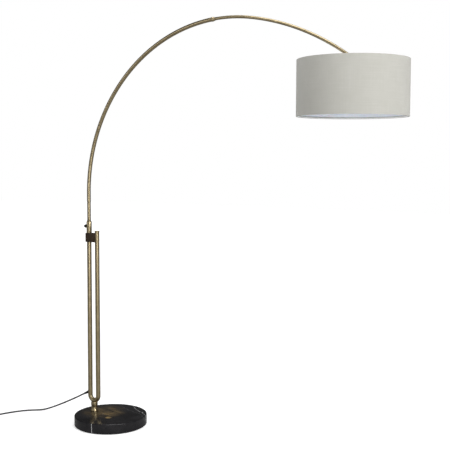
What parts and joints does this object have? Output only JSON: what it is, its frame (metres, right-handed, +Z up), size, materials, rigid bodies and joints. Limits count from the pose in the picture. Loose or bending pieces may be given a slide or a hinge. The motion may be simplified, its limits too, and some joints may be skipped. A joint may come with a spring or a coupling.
{
  "type": "arc floor lamp",
  "caption": "Arc floor lamp: round marble base, brass hairpin stand with a clamped sliding arc arm, and a linen drum shade on a tilting lamp holder, with a floor cord, foot switch and plug.",
  "frame": {"origin": "centre of the round base's flat underside, on the floor", "axes": "+Z up; +X the way the arc arm reaches, from the stand towards the shade"},
  "size_m": [1.9447, 0.5552, 1.6925],
  "materials": {
    "antique_brass": "satin antique brass, lacquered",
    "black_marble": "polished black marble with a few pale veins",
    "black_felt": "matt felt",
    "zinc_steel": "zinc plated",
    "bronze_block": "dark bronze, satin",
    "black_plastic": "satin black",
    "white_nylon": "matt nylon",
    "grey_cord": "matt flexible sheath",
    "white_wire": "white powder coat",
    "greige_linen": "plain linen weave",
    "white_liner": "smooth white shade liner",
    "white_ceramic": "glazed",
    "opal_glass": "opal"
  },
  "bodies": {
    "stand": {"base_felt": "black_felt", "marble_base": "black_marble", "base_washer": "zinc_steel", "base_bolt": "zinc_steel", "base_neck": "antique_brass", "hairpin_tube": "antique_brass", "leg_cap": "antique_brass", "bridge_block": "bronze_block", "bridge_screw": "antique_brass", "clamp_sleeve": "antique_brass", "sleeve_liner": "white_nylon", "leg_flex": "grey_cord", "cord_gland": "black_plastic", "cord_lead": "grey_cord", "foot_switch_base": "black_plastic", "foot_switch_cover": "black_plastic", "foot_switch_contacts": "white_nylon", "cord_switch_lead": "grey_cord", "cord_coil": "grey_cord", "cord_tie": "black_plastic", "cord_plug_lead": "grey_cord", "plug_body": "black_plastic", "plug_pin_left": "zinc_steel", "plug_pin_right": "zinc_steel"},
    "slider": {"guide_bush": "white_nylon"},
    "arm": {"lower_rod": "antique_brass", "middle_rod": "antique_brass", "end_rod": "antique_brass", "joint_stud": "zinc_steel", "joint_ferrule": "antique_brass", "arm_flex": "grey_cord", "knuckle_fork": "antique_brass", "knuckle_pin": "antique_brass", "knuckle_nut": "antique_brass"},
    "head": {"knuckle_tongue": "antique_brass", "holder_cap": "antique_brass", "holder_lock_nut": "zinc_steel", "holder_socket": "black_plastic", "holder_insert": "white_ceramic", "holder_contact": "antique_brass", "shade_ring_nut": "black_plastic", "bulb_cap": "zinc_steel", "bulb_globe": "opal_glass", "shade_spider": "white_wire", "shade_bottom_ring": "white_wire", "shade_fabric": "greige_linen", "shade_liner": "white_liner"},
    "clamp_shoe": {"clamp_pad": "antique_brass"},
    "clamp_handle": {"clamp_screw": "zinc_steel", "clamp_knob": "black_plastic"},
    "foot_button": {"foot_switch_button": "black_plastic"}
  },
  "joints": [
    {"name": "arm_height", "type": "slide", "parent": "stand", "child": "slider", "axis": [0, 0, 1], "range_m": [-0.1, 0.2]},
    {"name": "arm_swivel", "type": "hinge", "parent": "slider", "child": "arm", "pos_m": [-0.113, 0, 0.85], "axis": [0, 0, 1], "range_deg": [-170, 170]},
    {"name": "shade_tilt", "type": "hinge", "parent": "arm", "child": "head", "pos_m": [1.10675, 0, 1.50066], "axis": [0, 1, 0], "range_deg": [-20, 20]},
    {"name": "clamp_travel", "type": "slide", "parent": "stand", "child": "clamp_shoe", "axis": [-1, 0, 0], "range_m": [0, 0.0016]},
    {"name": "clamp_turn", "type": "hinge", "parent": "clamp_shoe", "child": "clamp_handle", "pos_m": [-0.1317, 0, 0.8528], "axis": [-1, 0, 0], "range_deg": [0, 720]},
    {"name": "foot_switch_press", "type": "slide", "parent": "stand", "child": "foot_button", "axis": [0, 0, -1], "range_m": [0, 0.0025], "stiffness_N_per_m": 1200, "springref_m": -0.0008}
  ],
  "couplings": [
    {"joint": "clamp_turn", "follows": "clamp_travel", "rad_per_m": 7854}
  ]
}
